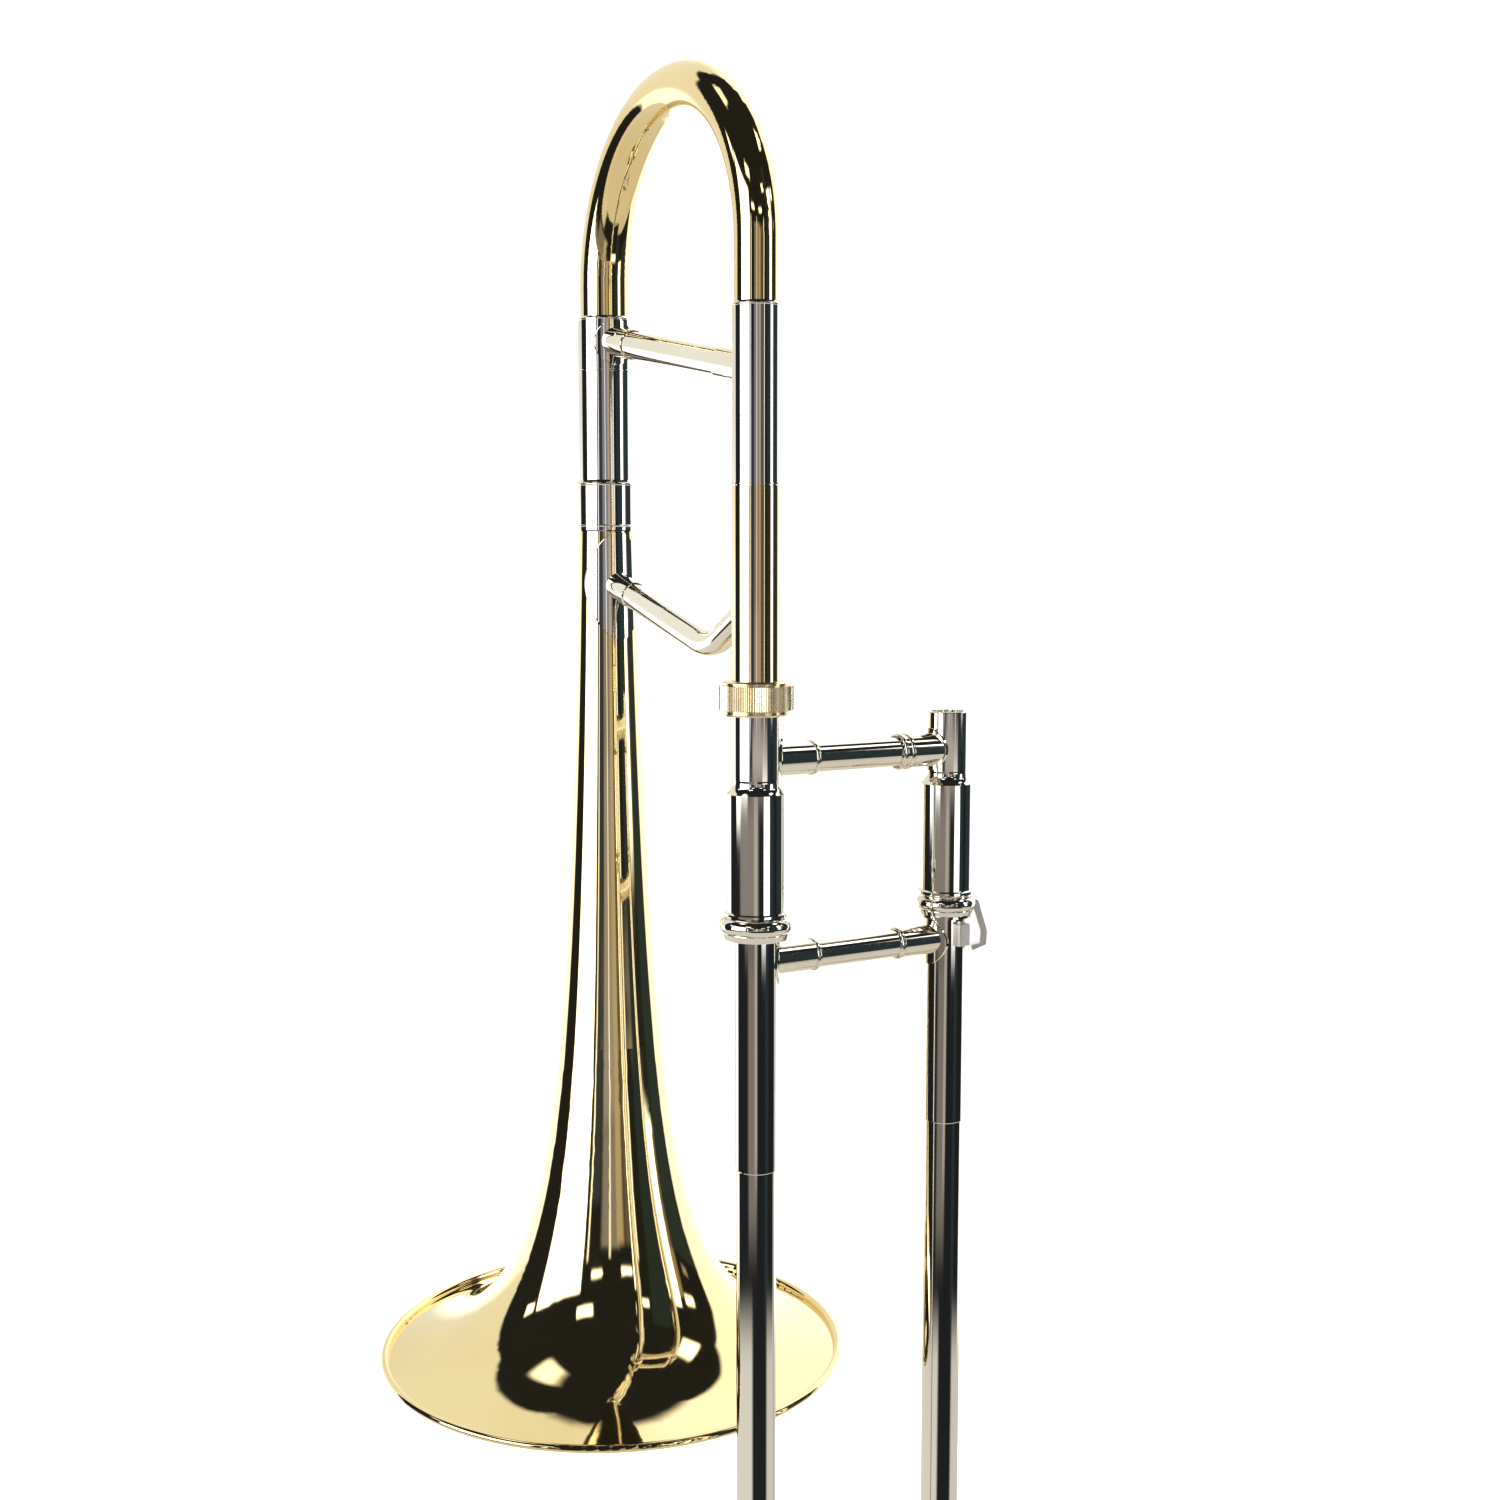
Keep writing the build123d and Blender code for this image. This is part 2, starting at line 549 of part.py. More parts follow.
def make_lock_hook():
    """Arm that leans out from the lock ring and turns in under the catch."""
    arm = upright_plate(
        MOUTH_LEG, HOOK_AZIMUTH,
        [(10.6, 215.2), (12.6, 214.2), (16.2, 202.0), (15.9, 196.6), (10.4, 194.2),
         (9.9, 196.3), (13.3, 197.2), (13.6, 202.2), (11.0, 210.6)],
        HOOK_WIDTH,
    )
    along = radial(HOOK_AZIMUTH).cross(Vector(0, 0, 1))
    arm = fillet(arm.edges().filter_by(Axis(MOUTH_LEG, along)), 0.5)
    return arm - rod(MOUTH_LEG, 200, 230, 10.6) - make_lock_ring()


def make_bumper_cork(leg, cavity):
    return tube(leg, CAVITY_TOP - CORK_HEIGHT, CAVITY_TOP, cavity, INNER_RADIUS)


def make_mouthpiece_receiver():
    depth = RECEIVER_MOUTH - MOUTH_BARREL_TOP
    return turned_corners(
        MOUTH_LEG,
        (SHANK_RADIUS - depth * SHANK_SLOPE, MOUTH_BARREL_TOP), (MOUTH_RADIUS, MOUTH_BARREL_TOP),
        (MOUTH_RADIUS, RECEIVER_MOUTH - 0.3), (MOUTH_RADIUS - 0.3, RECEIVER_MOUTH),
        (SHANK_RADIUS, RECEIVER_MOUTH),
    )


def make_leadpipe():
    """Thin tapered pipe inside the mouthpiece leg, narrowest just below the shank."""
    venturi = SHANK_RADIUS - (RECEIVER_MOUTH - MOUTH_BARREL_TOP) * SHANK_SLOPE
    return turned_corners(
        MOUTH_LEG,
        (venturi, MOUTH_BARREL_TOP), (BORE_RADIUS, MOUTH_BARREL_TOP),
        (BORE_RADIUS, LEADPIPE_BOTTOM), (LEADPIPE_EXIT, LEADPIPE_BOTTOM),
    )


def make_stocking(leg):
    """Slightly thicker end of an inner tube: the only part that rubs on the outer tube."""
    return turned_corners(
        leg,
        (INNER_RADIUS, INNER_BOTTOM), (STOCKING_RADIUS - 0.1, INNER_BOTTOM),
        (STOCKING_RADIUS, INNER_BOTTOM + 1), (STOCKING_RADIUS, STOCKING_TOP - 3),
        (INNER_RADIUS, STOCKING_TOP),
    )


def make_upper_brace():
    start = at_height(NECK_LEG, UPPER_BRACE) + SLIDE_WAY * 20
    end = at_height(NECK_LEG, UPPER_BRACE) + SLIDE_WAY * 67
    return brace_tube(start, end, UPPER_BRACE_RADIUS)


def make_upper_neck_cup():
    return cup(
        NECK_LEG, TENON_RADIUS, UPPER_BRACE, SLIDE_WAY,
        25.0, 6.1, UPPER_BRACE_RADIUS, rings=(23.6,),
    )


def make_upper_mouth_cup():
    return cup(
        MOUTH_LEG, MOUTH_RADIUS, UPPER_BRACE, SLIDE_WAY * -1,
        25.0, 6.5, UPPER_BRACE_RADIUS, rings=(20.4, 23.6),
    )


def make_upper_neck_saddle():
    return saddle(NECK_LEG, TENON_RADIUS, UPPER_BRACE + 1.5, SLIDE_WAY, 7.4, 8.0)


def make_upper_mouth_saddle():
    return saddle(MOUTH_LEG, MOUTH_RADIUS, UPPER_BRACE + 0.2, SLIDE_WAY * -1, 6.8, 8.2)


# ---------------------------------------------------------------- outer slide
def make_outer_tube(leg):
    return tube(leg, OUTER_BOTTOM, OUTER_TOP, OUTER_RADIUS, OUTER_BORE)


def make_oversleeve(leg, bottom):
    """Second skin that stiffens the top of an outer tube where the hand holds it."""
    return turned_corners(
        leg,
        (OUTER_RADIUS, bottom), (OVERSLEEVE_RADIUS - 0.15, bottom), (OVERSLEEVE_RADIUS, bottom + 0.3),
        (OVERSLEEVE_RADIUS, OVERSLEEVE_TOP), (OUTER_RADIUS, OVERSLEEVE_TOP),
    )


def make_lower_brace():
    start = at_height(NECK_LEG, LOWER_BRACE) + SLIDE_WAY * 21
    end = at_height(NECK_LEG, LOWER_BRACE) + SLIDE_WAY * 67
    return brace_tube(start, end, LOWER_BRACE_RADIUS)


def make_lower_neck_cup():
    return cup(
        NECK_LEG, OVERSLEEVE_RADIUS, LOWER_BRACE, SLIDE_WAY,
        26.0, 5.7, LOWER_BRACE_RADIUS, rings=(24.6,),
    )


def make_lower_mouth_cup():
    return cup(
        MOUTH_LEG, OVERSLEEVE_RADIUS, LOWER_BRACE, SLIDE_WAY * -1,
        25.0, 5.7, LOWER_BRACE_RADIUS, rings=(23.6,),
    )


def make_lower_saddle(leg, way):
    """Lens-shaped plate: it is clear of the barrel-end ring just above."""
    return saddle(leg, OVERSLEEVE_RADIUS, LOWER_BRACE - 0.8, way, 7.1, 9.0)


def make_lock_catch():
    """Small block on the outer tube that the lock ring's hook turns under."""
    middle = (CATCH_BOTTOM + CATCH_TOP) / 2
    way = radial(CATCH_AZIMUTH)
    face = Plane(origin=at_height(MOUTH_LEG, middle), x_dir=way, z_dir=(0, 0, 1))
    outwards = (Align.MIN, Align.CENTER, Align.CENTER)
    block = Box(CATCH_RADIUS, CATCH_WIDTH, CATCH_TOP - CATCH_BOTTOM, align=outwards)
    block = fillet(block.edges().filter_by(Axis.Z).sort_by(Axis.X)[-2:], 1.1)
    return face * block - rod(MOUTH_LEG, CATCH_BOTTOM - 1, CATCH_TOP + 1, OVERSLEEVE_RADIUS)


# ---------------------------------------------------------------- foot of the slide
def crook_centre():
    return at_height(NECK_LEG + SLIDE_WAY * (SLIDE_SPACING / 2), CROOK_CENTRE)


def crook_arc(radius, start, span):
    """Part of a ring tube in the slide's plane; angles run from the mouthpiece side, down."""
    pivot = Axis(crook_centre(), CROSS_WAY)
    way = SLIDE_WAY * math.cos(math.radians(start)) - Vector(0, 0, 1) * math.sin(math.radians(start))
    frame = Plane(origin=crook_centre() + way * (SLIDE_SPACING / 2), z_dir=CROSS_WAY.cross(way))
    return revolve(frame * Circle(radius), pivot, span)


def crook_solid(radius, extra):
    """Half-turn with its two short straight ends, swept from leg to leg."""
    top = OUTER_BOTTOM + extra
    mouth_end, neck_end = at_height(MOUTH_LEG, CROOK_CENTRE), at_height(NECK_LEG, CROOK_CENTRE)
    lowest = crook_centre() - Vector(0, 0, SLIDE_SPACING / 2)
    path = Wire([
        Line(at_height(MOUTH_LEG, top), mouth_end),
        ThreePointArc(mouth_end, lowest, neck_end),
        Line(neck_end, at_height(NECK_LEG, top)),
    ])
    section = Plane(origin=at_height(MOUTH_LEG, top), z_dir=(0, 0, -1)) * Circle(radius)
    return sweep(section, path=path)


def nipple_frame(height):
    return Plane(origin=at_height(NECK_LEG, height), z_dir=SLIDE_WAY * -1)


def make_crook():
    drain = nipple_frame(NIPPLE_HEIGHT) * (Pos(0, 0, NIPPLE_END / 2) * Cylinder(NIPPLE_HOLE, NIPPLE_END))
    return crook_solid(OUTER_RADIUS, 0) - crook_solid(CROOK_BORE, 1) - drain


def make_crook_ferrule(leg):
    body = tube(leg, CROOK_FERRULE_BOTTOM, CROOK_FERRULE_TOP, CROOK_FERRULE_RADIUS, OUTER_RADIUS)
    rims = body.edges().filter_by(GeomType.CIRCLE).filter_by(lambda edge: edge.radius > OUTER_RADIUS + 0.1)
    return chamfer(rims, 0.4)


def make_bow_guard():
    """Wear plate round the lowest part of the end bow."""
    start = 90 - GUARD_SPAN / 2
    return crook_arc(GUARD_RADIUS, start, GUARD_SPAN) - crook_arc(OUTER_RADIUS, start - 2, GUARD_SPAN + 4)


def make_bumper_cup():
    foot = CROOK_CENTRE - SLIDE_SPACING / 2 - GUARD_RADIUS
    body = turned_corners(
        crook_centre(),
        (0, foot + 4), (6.4, foot + 4), (6.4, foot - 4.6), (6.0, foot - 5.0),
        (5.5, foot - 5.0), (5.5, foot - 2.0), (0, foot - 2.0),
    )
    return body - crook_arc(GUARD_RADIUS, 60, 60)


def make_bumper():
    """Rubber foot pressed in the cup, with a flat underside."""
    foot = CROOK_CENTRE - SLIDE_SPACING / 2 - GUARD_RADIUS
    return turned_corners(
        crook_centre(),
        (0, foot - 2.0), (5.5, foot - 2.0), (5.5, foot - 6.0), (6.8, foot - 6.8),
        (6.8, BUMPER_BOTTOM + 1.5), (5.8, BUMPER_BOTTOM), (0, BUMPER_BOTTOM),
    )


# ---------------------------------------------------------------- water key
def key_box(out_near, out_far, bottom, top, width, shift=0.0):
    """Block outside the neck leg: out is the distance from its axis, away from the slide."""
    size = Box(out_far - out_near, width, top - bottom)
    centre = (-(out_near + out_far) / 2, shift, (bottom + top) / 2)
    frame = Plane(origin=NECK_LEG, x_dir=SLIDE_WAY, z_dir=(0, 0, 1))
    return frame * (Pos(*centre) * size)


def key_cylinder(radius, length, shift=0.0):
    """Cylinder along the key's pivot line."""
    centre = at_height(NECK_LEG, KEY_PIVOT_HEIGHT) - SLIDE_WAY * KEY_PIVOT_OUT + CROSS_WAY * shift
    return Plane(origin=centre, z_dir=CROSS_WAY) * Cylinder(radius, length)


def nipple_disc(radius, near, far):
    """Disc on the nipple's axis, between two distances from the neck leg."""
    return nipple_frame(NIPPLE_HEIGHT) * (Pos(0, 0, (near + far) / 2) * Cylinder(radius, far - near))


def make_water_nipple():
    body = nipple_disc(NIPPLE_RADIUS, 4.0, NIPPLE_END)
    body += nipple_disc(NIPPLE_RADIUS + 0.5, NIPPLE_END - 1.2, NIPPLE_END)
    return body - nipple_disc(NIPPLE_HOLE, 0, NIPPLE_END + 1) - crook_solid(OUTER_RADIUS, 0)


def make_key_saddle():
    """Two ears on the bow's ferrule that carry the key's pin."""
    ears = key_box(6.0, 14.6, KEY_PIVOT_HEIGHT - 3.2, KEY_PIVOT_HEIGHT + 3.2, 1.4, 5.0)
    ears += key_box(6.0, 14.6, KEY_PIVOT_HEIGHT - 3.2, KEY_PIVOT_HEIGHT + 3.2, 1.4, -5.0)
    ears -= key_cylinder(KEY_PIN_RADIUS, 20)
    return ears - rod(NECK_LEG, -470, -430, CROOK_FERRULE_RADIUS)


def make_key_pin():
    """Pivot screw with a slotless round head."""
    return key_cylinder(KEY_PIN_RADIUS, 12.0) + key_cylinder(1.7, 0.8, 6.1)


def make_water_key():
    """Lever with its barrel, the cork's cup below and a finger plate above."""
    body = key_box(12.6, 14.4, NIPPLE_HEIGHT - 1, -436.0, 4.0)
    body += key_cylinder(KEY_BARREL_RADIUS, KEY_BARREL_LENGTH)
    body += key_box(14.0, 15.4, -441.0, -424.0, 9.0)
    body += nipple_disc(4.4, 11.2, 14.4)
    body -= nipple_disc(3.6, 9.0, 13.0)
    return body - key_cylinder(KEY_PIN_RADIUS + 0.06, 20)


def make_key_cork():
    return nipple_disc(3.6, NIPPLE_END + 0.3, 13.0)


def make_key_spring():
    """Wire coils each side of the lever, with their feet on the ferrule."""
    wire = 0.3
    coil = KEY_BARREL_RADIUS + 0.3 + wire
    pivot = at_height(NECK_LEG, KEY_PIVOT_HEIGHT) - SLIDE_WAY * KEY_PIVOT_OUT
    body = Part()
    for side in (-1, 1):
        for place in (2.6, 3.2, 3.8):
            frame = Plane(origin=pivot + CROSS_WAY * (side * place), z_dir=CROSS_WAY)
            body += frame * Torus(coil, wire + 0.02)
        top = pivot + CROSS_WAY * (side * 3.2) + Vector(0, 0, coil)
        body += Plane(origin=top, z_dir=SLIDE_WAY) * (Pos(0, 0, 3) * Cylinder(wire, 6))
    return body - rod(NECK_LEG, -470, -430, CROOK_FERRULE_RADIUS)


NODES = {
    "bell_flare": make_bell_flare,
    "bell_stem": make_bell_stem,
    "bell_rim_wire": make_rim_wire,
    "bell_ferrule": make_bell_ferrule,
    "tuning_receiver": make_tuning_receiver,
    "bell_brace_saddle": make_bell_saddle,
    "bell_brace_cup": make_bell_cup,
    "bell_brace_tube": make_bell_brace,
    "neck_brace_saddle": make_neck_saddle,
    "neckpipe": make_neckpipe,
    "neck_tuning_leg": make_neck_tuning_leg,
    "bell_lock_nut": make_lock_nut,
    "tuning_bow": make_tuning_bow,
    "tuning_bow_ferrule": make_large_cap,
    "tuning_leg_large": make_large_tuning_leg,
    "tuning_sleeve": make_small_sleeve,
    "tuning_brace_tube": make_tuning_brace,
    "tuning_brace_cup_large": make_tuning_large_cup,
    "tuning_brace_cup_small": make_tuning_small_cup,
    "tuning_brace_saddle_large": make_tuning_large_saddle,
    "tuning_brace_saddle_small": make_tuning_small_saddle,
    "slide_tenon": make_slide_tenon,
    "neck_cork_barrel": make_neck_barrel,
    "neck_barrel_ring": make_barrel_end_ring,
    "mouth_cork_barrel": make_mouth_barrel,
    "mouthpiece_receiver": make_mouthpiece_receiver,
    "leadpipe": make_leadpipe,
    "neck_inner_tube": lambda: tube(NECK_LEG, INNER_BOTTOM, INNER_TOP, INNER_RADIUS, BORE_RADIUS),
    "mouth_inner_tube": lambda: tube(MOUTH_LEG, INNER_BOTTOM, MOUTH_BARREL_TOP, INNER_RADIUS, BORE_RADIUS),
    "neck_stocking": lambda: make_stocking(NECK_LEG),
    "mouth_stocking": lambda: make_stocking(MOUTH_LEG),
    "barrel_corks": lambda: group(
        make_bumper_cork(NECK_LEG, BARREL_CAVITY), make_bumper_cork(MOUTH_LEG, MOUTH_BARREL_CAVITY),
    ),
    "upper_brace_tube": make_upper_brace,
    "upper_brace_cup_neck": make_upper_neck_cup,
    "upper_brace_cup_mouth": make_upper_mouth_cup,
    "upper_brace_saddle_neck": make_upper_neck_saddle,
    "upper_brace_saddle_mouth": make_upper_mouth_saddle,
    "lock_ring_spigot": make_lock_spigot,
    "lock_ring_retainer": make_lock_retainer,
    "lock_ring": make_lock_ring,
    "lock_hook": make_lock_hook,
    "neck_outer_tube": lambda: make_outer_tube(NECK_LEG),
    "mouth_outer_tube": lambda: make_outer_tube(MOUTH_LEG),
    "neck_oversleeve": lambda: make_oversleeve(NECK_LEG, OVERSLEEVE_BOTTOM_NECK),
    "mouth_oversleeve": lambda: make_oversleeve(MOUTH_LEG, OVERSLEEVE_BOTTOM_MOUTH),
    "lower_brace_tube": make_lower_brace,
    "lower_brace_cups": lambda: group(make_lower_neck_cup(), make_lower_mouth_cup()),
    "lower_brace_saddles": lambda: group(
        make_lower_saddle(NECK_LEG, SLIDE_WAY), make_lower_saddle(MOUTH_LEG, SLIDE_WAY * -1),
    ),
    "lock_catch": make_lock_catch,
    "end_bow": make_crook,
    "end_bow_ferrules": lambda: group(make_crook_ferrule(NECK_LEG), make_crook_ferrule(MOUTH_LEG)),
    "end_bow_guard": make_bow_guard,
    "bumper_cup": make_bumper_cup,
    "bumper": make_bumper,
    "water_key_nipple": make_water_nipple,
    "water_key_saddle": make_key_saddle,
    "water_key_pin": make_key_pin,
    "water_key_lever": make_water_key,
    "water_key_cork": make_key_cork,
    "water_key_spring": make_key_spring,
}

os.makedirs("parts", exist_ok=True)
for name, make in NODES.items():
    export_step(make(), f"parts/{name}.step")
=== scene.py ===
import json
import math

import bpy
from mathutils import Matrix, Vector

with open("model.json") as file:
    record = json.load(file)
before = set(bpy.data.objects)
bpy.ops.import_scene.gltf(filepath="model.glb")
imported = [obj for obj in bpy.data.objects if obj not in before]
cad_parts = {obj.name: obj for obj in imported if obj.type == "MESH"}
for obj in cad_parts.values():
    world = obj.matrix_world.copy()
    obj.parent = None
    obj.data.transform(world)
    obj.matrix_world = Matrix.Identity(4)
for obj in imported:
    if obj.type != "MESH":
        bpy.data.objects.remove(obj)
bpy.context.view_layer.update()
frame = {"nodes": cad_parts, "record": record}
nodes = frame["nodes"]

# The camera stands in front of the neckpipe, a little above the bell's mouth, and looks slightly down.
CAMERA_PLACE = Vector((-0.3194, -0.7118, 0.3480))
CAMERA_HEADING = math.radians(-28.65)      # from +Y, towards +X
CAMERA_PITCH = math.radians(6.017)         # below level
CAMERA_LENS = 43.6
SENSOR = 36.0

FLOOR_HEIGHT = -1.13                       # clear of the fully drawn slide
FLOOR_REACH = 14.0
FLOOR_TONES = (0.93, 0.93, 0.92), (0.96, 0.96, 0.95)

SMUDGE_TINT = 0.16                         # how far a smudge pulls the colour towards the shade
SMUDGE_HAZE = 1.2                          # and how much it adds to the roughness, times over
COAT_ROUGHNESS = 0.03
RIPPLE_HEIGHT = 0.001                      # metres, before the ripple's strength


# ---------------------------------------------------------------- node helpers
def math_node(tree, operation, first, second=None, clamp=False):
    """One math node; its inputs are sockets or numbers."""
    node = tree.nodes.new("ShaderNodeMath")
    node.operation = operation
    node.use_clamp = clamp
    for socket, value in zip(node.inputs, (first, second)):
        if isinstance(value, bpy.types.NodeSocket):
            tree.links.new(value, socket)
        elif value is not None:
            socket.default_value = value
    return node.outputs[0]


def ramp_between(tree, value, low, high, at_low=0.0, at_high=1.0):
    """Smooth step of a value from at_low to at_high."""
    node = tree.nodes.new("ShaderNodeMapRange")
    node.interpolation_type = "SMOOTHSTEP"
    tree.links.new(value, node.inputs["Value"])
    node.inputs["From Min"].default_value = low
    node.inputs["From Max"].default_value = high
    node.inputs["To Min"].default_value = at_low
    node.inputs["To Max"].default_value = at_high
    return node.outputs["Result"]


def mix_colour(tree, factor, first, second, blend="MIX"):
    """Colour mix; factor, first and second are sockets or values."""
    node = tree.nodes.new("ShaderNodeMix")
    node.data_type = "RGBA"
    node.blend_type = blend
    for name, value in (("Factor_Float", factor), ("A_Color", first), ("B_Color", second)):
        socket = next(s for s in node.inputs if s.identifier == name)
        if isinstance(value, bpy.types.NodeSocket):
            tree.links.new(value, socket)
        elif isinstance(value, (int, float)):
            socket.default_value = value
        else:
            socket.default_value = (*value, 1.0)
    return next(s for s in node.outputs if s.identifier == "Result_Color")


def noise(tree, scale, stretch=(1, 1, 1), detail=4.0, roughness=0.5, shift=0.0):
    """Noise in the object's own metres: scale is in lumps per metre."""
    place = tree.nodes.new("ShaderNodeTexCoord")
    mapping = tree.nodes.new("ShaderNodeMapping")
    mapping.inputs["Scale"].default_value = stretch
    mapping.inputs["Location"].default_value = (shift, shift, shift)
    tree.links.new(place.outputs["Object"], mapping.inputs["Vector"])
    node = tree.nodes.new("ShaderNodeTexNoise")
    node.inputs["Scale"].default_value = scale
    node.inputs["Detail"].default_value = detail
    node.inputs["Roughness"].default_value = roughness
    tree.links.new(mapping.outputs["Vector"], node.inputs["Vector"])
    return node.outputs["Fac"]


def bump(tree, height, distance, strength, shader):
    node = tree.nodes.new("ShaderNodeBump")
    node.inputs["Distance"].default_value = distance
    node.inputs["Strength"].default_value = strength
    tree.links.new(height, node.inputs["Height"])
    tree.links.new(node.outputs["Normal"], shader.inputs["Normal"])


def blank_material(name):
    material = bpy.data.materials.new(name)
    material.use_nodes = True
    return material, material.node_tree, material.node_tree.nodes["Principled BSDF"]


# ---------------------------------------------------------------- materials
def polished_metal(name, colour, shade, rough, coat=0.5, streaks=0.35, ripple=0.05):
    """Mirror-polished, lacquered metal.

    Broad tone drift, polishing streaks along the tubes, and smudges that only show in the gloss."""
    material, tree, shader = blank_material(name)
    drift = noise(tree, 9.0, (1, 1, 0.5), 3.0)
    smudge = noise(tree, 38.0, (1, 1, 0.7), 6.0, 0.62, 3.1)
    streak = noise(tree, 700.0, (1, 1, 0.02), 3.0, 0.55, 1.7)
    tone = mix_colour(tree, ramp_between(tree, drift, 0.35, 0.7), colour, shade)
    spots = ramp_between(tree, smudge, 0.58, 0.78)
    tint = math_node(tree, "MULTIPLY", spots, SMUDGE_TINT)
    tree.links.new(mix_colour(tree, tint, tone, shade), shader.inputs["Base Color"])
    gloss = math_node(tree, "MULTIPLY", ramp_between(tree, streak, 0.3, 0.75), streaks * rough)
    haze = math_node(tree, "MULTIPLY", spots, SMUDGE_HAZE * rough)
    total = math_node(tree, "ADD", math_node(tree, "ADD", gloss, haze), rough)
    tree.links.new(total, shader.inputs["Roughness"])
    shader.inputs["Metallic"].default_value = 1.0
    shader.inputs["Coat Weight"].default_value = coat
    shader.inputs["Coat Roughness"].default_value = COAT_ROUGHNESS
    wave = noise(tree, 24.0, (1, 1, 0.6), 2.0, 0.4, 5.3)
    bump(tree, wave, RIPPLE_HEIGHT, ripple, shader)
    return material


def satin_metal(name, colour, shade, rough_low, rough_high, grain=900.0):
    """Metal with a fine machined grain, and a tone that drifts at random towards a darker colour."""
    material, tree, shader = blank_material(name)
    fine = noise(tree, grain, (1, 1, 0.25), 4.0, 0.6, 0.9)
    drift = noise(tree, 60.0, (1, 1, 1), 3.0, 0.5, 2.2)
    tone = mix_colour(tree, ramp_between(tree, drift, 0.3, 0.7), colour, shade)
    tree.links.new(tone, shader.inputs["Base Color"])
    tree.links.new(ramp_between(tree, fine, 0.25, 0.75, rough_low, rough_high), shader.inputs["Roughness"])
    shader.inputs["Metallic"].default_value = 1.0
    bump(tree, fine, 0.0004, 0.12, shader)
    return material


def soft_material(name, colour, shade, rough, lump, depth):
    """Felt, cork or rubber: dull, speckled and slightly pitted."""
    material, tree, shader = blank_material(name)
    speck = noise(tree, lump, (1, 1, 1), 6.0, 0.7)
    tone = mix_colour(tree, ramp_between(tree, speck, 0.38, 0.62), colour, shade)
    tree.links.new(tone, shader.inputs["Base Color"])
    dulled = ramp_between(tree, speck, 0.2, 0.8, rough - 0.08, rough + 0.08)
    tree.links.new(dulled, shader.inputs["Roughness"])
    bump(tree, speck, depth, 0.5, shader)
    return material


# Each finish is (kind of metal or stuff, name, colour, shade, and that kind's own settings).
FINISHES = [
    (polished_metal, "yellow_brass", (0.93, 0.77, 0.42), (0.86, 0.67, 0.32), 0.035, 0.6),
    (satin_metal, "wire_brass", (0.84, 0.66, 0.34), (0.72, 0.54, 0.27), 0.2, 0.35),
    (polished_metal, "gold_brass", (0.92, 0.74, 0.50), (0.84, 0.63, 0.38), 0.045, 0.6),
    (satin_metal, "knurled_brass", (0.97, 0.88, 0.66), (0.90, 0.78, 0.54), 0.14, 0.26, 300.0),
    (polished_metal, "nickel_silver", (0.86, 0.83, 0.77), (0.76, 0.72, 0.65), 0.04, 0.5),
    (polished_metal, "brace_nickel", (0.90, 0.86, 0.77), (0.80, 0.75, 0.65), 0.05, 0.5),
    (satin_metal, "brushed_nickel", (0.96, 0.94, 0.90), (0.88, 0.86, 0.81), 0.42, 0.52, 1200.0),
    (polished_metal, "plated_tube", (0.84, 0.84, 0.83), (0.74, 0.74, 0.73), 0.06, 0.0),
    (satin_metal, "leadpipe_brass", (0.78, 0.58, 0.32), (0.62, 0.44, 0.24), 0.2, 0.4),
    (polished_metal, "key_nickel", (0.85, 0.81, 0.74), (0.74, 0.70, 0.62), 0.07, 0.3),
    (satin_metal, "pin_steel", (0.62, 0.62, 0.63), (0.5, 0.5, 0.51), 0.2, 0.35),
    (soft_material, "felt_cork", (0.035, 0.032, 0.03), (0.075, 0.07, 0.065), 0.9, 2500.0, 0.0004),
    (soft_material, "key_cork", (0.42, 0.27, 0.15), (0.24, 0.14, 0.07), 0.8, 1800.0, 0.0003),
    (soft_material, "bumper_rubber", (0.018, 0.018, 0.018), (0.035, 0.034, 0.033), 0.6, 1500.0, 0.0002),
]
MATERIALS = {name: make(name, *settings) for make, name, *settings in FINISHES}

BRUSHED_PIECES = ("lock_hook", "lock_catch")        # small flat faces that would mirror only the dark

for part in frame["record"]["subparts"]:
    mesh = nodes[part["node"]].data
    slot = "brushed_nickel" if part["node"] in BRUSHED_PIECES else part["material_slot"]
    mesh.materials.clear()
    mesh.materials.append(MATERIALS[slot])


# ---------------------------------------------------------------- studio
def view_frame():
    """Level directions from the object: towards the camera, and to the picture's right."""
    away = Vector((-math.sin(CAMERA_HEADING), math.cos(CAMERA_HEADING), 0))
    return -away, Vector((away.y, -away.x, 0))


